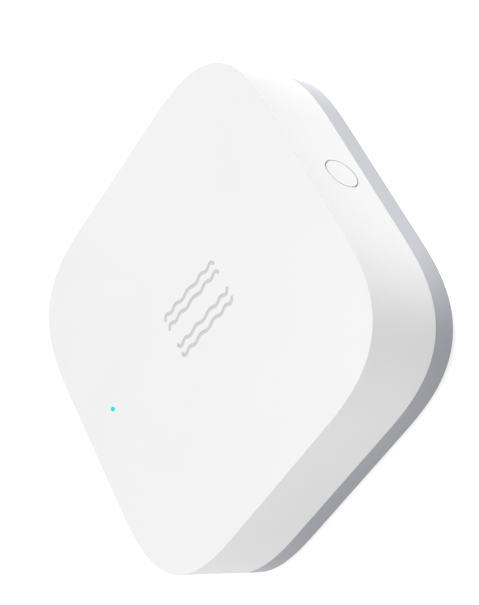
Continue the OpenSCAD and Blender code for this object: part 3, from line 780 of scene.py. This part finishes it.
cellSize = {
    "low": 5.0, "can": 10.0, "canTop": 7.9, "sheet": 0.25, "canEdge": 0.4,
    "lip": 9.4, "lipLow": 7.65, "lipEdge": 0.24, "ring": 8.4, "ringDepth": 0.06,
    "cap": 8.8, "capTop": 8.2, "capFoot": 6.6, "capEdge": 0.3, "soft": 0.08, "steps": 128,
}


def coinCell():
    size = cellSize
    low, sheet, soft, steps = (size[key] for key in ("low", "sheet", "soft", "steps"))
    can, top, edge, lip, lipLow = (size[key] for key in ("can", "canTop", "canEdge", "lip", "lipLow"))
    cap, capTop, foot, bend = (size[key] for key in ("cap", "capTop", "capFoot", "capEdge"))
    brim, ring, deep = size["lipEdge"], size["ring"], size["ringDepth"]
    bm = bmesh.new()
    lathe(bm, [
        (0, low + deep), (ring, low + deep), (ring + 2 * soft, low),
        *arc((can - edge, low + edge), edge, 270, 360), *arc((can - brim, top - brim), brim, 0, 90),
        (lip + soft, top), (lip, top - soft), (lip, lipLow), (can - sheet, lipLow),
        (can - sheet, low + sheet + soft), (can - sheet - soft, low + sheet), (0, low + sheet),
    ], steps=steps)
    addPiece("cellCan", bm, [cellSteel], "coin_cell", ["cell_can"])
    bm = bmesh.new()
    lathe(bm, [
        (cap, low + sheet), (can - sheet, low + sheet), (can - sheet, lipLow), (lip, lipLow),
        (lip, top - soft), (lip - soft, top), (cap + soft, top), (cap, top - soft),
    ], steps=steps, closed=True)
    addPiece("cellGasket", bm, [gasketGrey], "coin_cell", ["cell_gasket"])
    bm = bmesh.new()
    lathe(bm, [
        (0, capTop - sheet), (cap - sheet - soft, capTop - sheet), (cap - sheet, capTop - sheet - soft),
        (cap - sheet, foot), (cap, foot), *arc((cap - bend, capTop - bend), bend, 0, 90),
        (ring - soft, capTop), (ring - 3 * soft, capTop - deep), (0, capTop - deep),
    ], steps=steps)
    addPiece("cellCap", bm, [cellSteel], "coin_cell", ["cell_cap"])


coinCell()
print("coin cell built")


# parts on the front of the board

chipSize = {
    "edge": 0.07, "shrink": 0.02, "dimple": 0.3, "dimpleFloor": 0.24, "dimpleInset": 0.75,
    "dimpleDepth": 0.05, "dimpleSteps": 24, "overshoot": 0.2,
    "padWidth": 0.26, "padHeight": 0.2, "padDepth": 0.35, "padEdge": 0.02,
}
crystalSize = {"baseHeight": 0.3, "baseEdge": 0.04, "rim": 0.14, "edge": 0.1, "overlap": 0.05}
passiveSize = {
    "cap": 0.22, "shrink": 0.025, "edge": 0.04, "capEdge": 0.05, "long": 1.0, "wide": 0.5, "gap": 1.0,
    "pitch": 1.5, "longRow": 4, "shortRow": 2,
}
ledSize = {
    "long": 1.6, "wide": 0.8, "baseHeight": 0.3, "height": 0.6, "lens": 1.06, "pad": 0.2, "edge": 0.05,
}


def nodeBox(name):
    low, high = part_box(name)
    return Vector(low) / mm, Vector(high) / mm


def mouldedChip(name, node, pads):
    # a black chip with a dimple at its first corner and metal pads along its foot
    size = chipSize
    low, high = nodeBox(node)
    thin = Vector((size["shrink"], size["shrink"], 0))
    finishes = [chipBlack, tinnedMetal]
    bm = bmesh.new()
    block(bm, low + thin, high - thin, size["edge"])
    dent = bmesh.new()
    corner = Matrix.Translation((low.x + size["dimpleInset"], high.y - size["dimpleInset"], high.z))
    dimple, deep, over = size["dimple"], size["dimpleDepth"], size["overshoot"]
    lathe(dent, [(0, -deep), (size["dimpleFloor"], -deep), (dimple, 0), (dimple, over), (0, over)],
          corner, size["dimpleSteps"])
    bm = combine(bm, dent, "DIFFERENCE", finishes)
    middle, half = (low + high) / 2, (high.x - low.x) / 2
    inner, wide = half - size["padDepth"], size["padWidth"] / 2
    foot = Matrix.Translation((middle.x, middle.y, low.z))
    for quarter in range(4):
        side = foot @ Matrix.Rotation(quarter * math.pi / 2, 4, "Z")
        for i in range(pads):
            y = ((i + 0.5) / pads - 0.5) * 2 * inner
            block(bm, (inner, y - wide, 0), (half, y + wide, size["padHeight"]), size["padEdge"], side,
                  paint=1, segments=1)
    addPiece(name, bm, finishes, "sensor_body", [node])


def crystalCase():
    size = crystalSize
    low, high = nodeBox("crystal")
    rim = Vector((size["rim"], size["rim"], 0))
    lift = Vector((0, 0, size["baseHeight"] - size["overlap"]))
    bm = bmesh.new()
    block(bm, low, (high.x, high.y, low.z + size["baseHeight"]), size["baseEdge"], paint=1)
    block(bm, low + rim + lift, high - rim, size["edge"], segments=3)
    addPiece("crystalCase", bm, [sheetSteel, ledCeramic], "sensor_body", ["crystal"])


def passiveSpots():
    size, gap, long, pitch = passiveSize, passiveSize["gap"], passiveSize["long"], passiveSize["pitch"]
    low, high = nodeBox("radio_chip")
    rows = [(high.x + gap + long / 2, size["longRow"]), (low.x - gap - long / 2, size["shortRow"])]
    spots = [(x, low.y + (i + 0.5) * pitch) for x, count in rows for i in range(count)]
    low, high = nodeBox("accelerometer_chip")
    for x in (low.x - 2 * gap - long / 2, high.x + 2 * gap + long / 2):
        spots += [(x, (low.y + high.y) / 2 + step * pitch) for step in (-0.5, 0.5)]
    return spots


def chipPassives():
    size, half, side = passiveSize, passiveSize["long"] / 2, passiveSize["wide"] / 2
    thin, cap = size["shrink"], size["cap"]
    bm = bmesh.new()
    for x, y in passiveSpots():
        place = Matrix.Translation((x, y, tag["boardFront"]))
        block(bm, (cap / 2 - half, thin - side, thin), (half - cap / 2, side - thin, 2 * side - thin),
              size["edge"], place)
        for end in (-1, 1):
            near, far = sorted((end * half, end * (half - cap)))
            block(bm, (near, -side, 0), (far, side, 2 * side), size["capEdge"], place, paint=1)
    addPiece("chipPassives", bm, [chipTan, tinnedMetal], "sensor_body", ["chip_passives"])


def statusLed():
    size, half, side, edge = ledSize, ledSize["long"] / 2, ledSize["wide"] / 2, ledSize["edge"]
    base, lens = size["baseHeight"], size["lens"] / 2
    place = Matrix.Translation((lightX, lightY, tag["boardFront"]))
    place = place @ Matrix.Rotation(tag["lightTurn"], 4, "Z")
    bm = bmesh.new()
    block(bm, (size["pad"] - half, -side, 0), (half - size["pad"], side, base), edge, place)
    for end in (-1, 1):
        near, far = sorted((end * half, end * lens))
        block(bm, (near, -side, 0), (far, side, base), edge, place, paint=1)
    block(bm, (-lens, -side, base - edge), (lens, side, size["height"]), edge, place, paint=2, segments=3)
    finishes = [ledCeramic, tinnedMetal, ledLens]
    addPiece("statusLed", bm, finishes, "sensor_body", ["status_led"])


mouldedChip("radioChip", "radio_chip", pads=8)
mouldedChip("accelerometerChip", "accelerometer_chip", pads=4)
crystalCase()
chipPassives()
statusLed()
print("board parts built")


# pieces that keep their solid, with softened edges

# finish and edge radius in millimetres
keptSolids = {
    "cover_clips": (coverGrey, 0.08), "cell_holder": (holderIvory, 0.12),
    "cell_core": (electrodeDark, 0.10), "switch_housing": (switchBlack, 0.08),
    "switch_frame": (sheetSteel, 0.03), "switch_terminals": (tinnedMetal, 0.04),
    "negative_contact": (tinnedMetal, 0.04), "positive_contacts": (tinnedMetal, 0.04),
    "antenna_trace": (bareCopper, 0.02),
}
keptEdge = {"weldGap": 0.001, "segments": 2, "sharper": math.radians(40)}


def keepSolids():
    for name, (finish, edge) in keptSolids.items():
        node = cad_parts[name]
        for slot in node.material_slots:
            slot.material = finish
        joining = node.modifiers.new("joining", "WELD")
        joining.merge_threshold = keptEdge["weldGap"] * mm
        rounding = node.modifiers.new("rounding", "BEVEL")
        rounding.width, rounding.segments = edge * mm, keptEdge["segments"]
        rounding.limit_method, rounding.angle_limit = "ANGLE", keptEdge["sharper"]
        node.modifiers.new("shading", "WEIGHTED_NORMAL")


keepSolids()
print("kept solids finished")


# floor, light and camera

# lengths in metres, the depth of the floor's grain in millimetres
studio = {
    "floorSize": 3.0, "floorCells": 8, "floorColours": ((0.34, 0.34, 0.34), (0.36, 0.36, 0.36)),
    "floorRoughness": (0.8, 0.9), "floorBump": 0.02, "floorBumpDepth": 0.02,
    "glowLow": 0.754, "glowHigh": 1.708, "glowSpot": (0.044, 0.013, 0.0), "glowInner": 0.027,
    "glowOuter": 0.043, "glowSoft": 0.566, "glowFar": 1.0, "farInner": 0.12, "farOuter": 0.45, "sky": 0.05,
    "lamps": (
        # name, direction to the lamp, distance, width, power
        ("nearLamp", (-0.61, -0.61, 0.50), 0.9, 0.5, 1.12),
        ("farLamp", (0.69, 0.69, 0.21), 0.9, 0.5, 1.03),
        ("topLamp", (0.0, 0.0, 1.0), 0.9, 1.6, 14.1),
    ),
}


def floorFinish():
    # a glowing table with a brighter patch beside the button, strongest where the tag mirrors it
    look = studio
    finish = plastic(
        "paleFloor", look["floorColours"], look["floorRoughness"], look["floorBump"], look["floorBumpDepth"])
    tree, shader = openFinish(finish)[:2]
    away = vectorNode(tree, "DISTANCE", objectPoint(tree), look["glowSpot"])
    bright = spread(tree, away, look["glowInner"], look["glowOuter"], 1.0, 0.0, "SMOOTHSTEP")
    mirrored = addNode(tree, "LightPath").outputs["Is Glossy Ray"]
    bright = mathNode(tree, "MULTIPLY", bright, spread(tree, mirrored, 0.0, 1.0, look["glowSoft"], 1.0))
    dim, distant = ((look[key] / look["glowHigh"],) * 3 for key in ("glowLow", "glowFar"))
    far = spread(tree, away, look["farInner"], look["farOuter"], 0.0, 1.0, "SMOOTHSTEP")
    glow = blendColours(tree, far, blendColours(tree, bright, dim, (1, 1, 1)), distant)
    tree.links.new(glow, shader.inputs["Emission Color"])
    shader.inputs["Emission Strength"].default_value = look["glowHigh"]
    return finish


def buildFloor():
    bm = bmesh.new()
    cells = studio["floorCells"]
    bmesh.ops.create_grid(bm, x_segments=cells, y_segments=cells, size=studio["floorSize"] / 2)
    mesh = bpy.data.meshes.new("studioFloor")
    bm.to_mesh(mesh)
    bm.free()
    mesh.materials.append(floorFinish())
    floor = bpy.data.objects.new("studioFloor", mesh)
    scene.collection.objects.link(floor)


def buildLight():
    world = bpy.data.worlds.new("softStudio")
    world.use_nodes = True
    tree = world.node_tree
    seen = addNode(tree, "LightPath").outputs["Is Camera Ray"]
    sky = blendColours(tree, seen, (studio["sky"],) * 3, (1, 1, 1))
    tree.links.new(sky, tree.nodes["Background"].inputs["Color"])
    scene.world = world
    for name, direction, distance, width, power in studio["lamps"]:
        lamp = bpy.data.lights.new(name, "AREA")
        lamp.shape, lamp.size, lamp.energy = "DISK", width, power
        holder = bpy.data.objects.new(name, lamp)
        towards = Vector(direction).normalized()
        holder.location = towards * distance
        holder.rotation_euler = towards.to_track_quat("Z", "Y").to_euler()
        scene.collection.objects.link(holder)
    scene.view_settings.view_transform = "Standard"
    scene.view_settings.look = "None"


# lengths in millimetres, angles in degrees, with the azimuth counted from the button's side
cameraView = {
    "aim": (7.55, -4.48, 13.1), "distance": 196.96, "azimuth": -46.29, "elevation": 40.06, "roll": -84.45,
    "lens": 101.71, "sensor": 36.0, "nearest": 10.0,
}


def buildCamera():
    view = bpy.data.cameras.new("photoCamera")
    view.lens, view.sensor_width = cameraView["lens"], cameraView["sensor"]
    view.clip_start = cameraView["nearest"] * mm
    camera = bpy.data.objects.new("photoCamera", view)
    azimuth, elevation, roll = (math.radians(cameraView[key]) for key in ("azimuth", "elevation", "roll"))
    camera.matrix_world = (
        Matrix.Translation(Vector(cameraView["aim"]) * mm)
        @ Matrix.Rotation(math.pi / 2 + azimuth, 4, "Z")
        @ Matrix.Rotation(math.pi / 2 - elevation, 4, "X")
        @ Matrix.Rotation(roll, 4, "Z")
        @ Matrix.Translation((0, 0, cameraView["distance"] * mm))
    )
    scene.collection.objects.link(camera)
    scene.camera = camera


buildFloor()
buildLight()
buildCamera()
print("studio and camera ready")
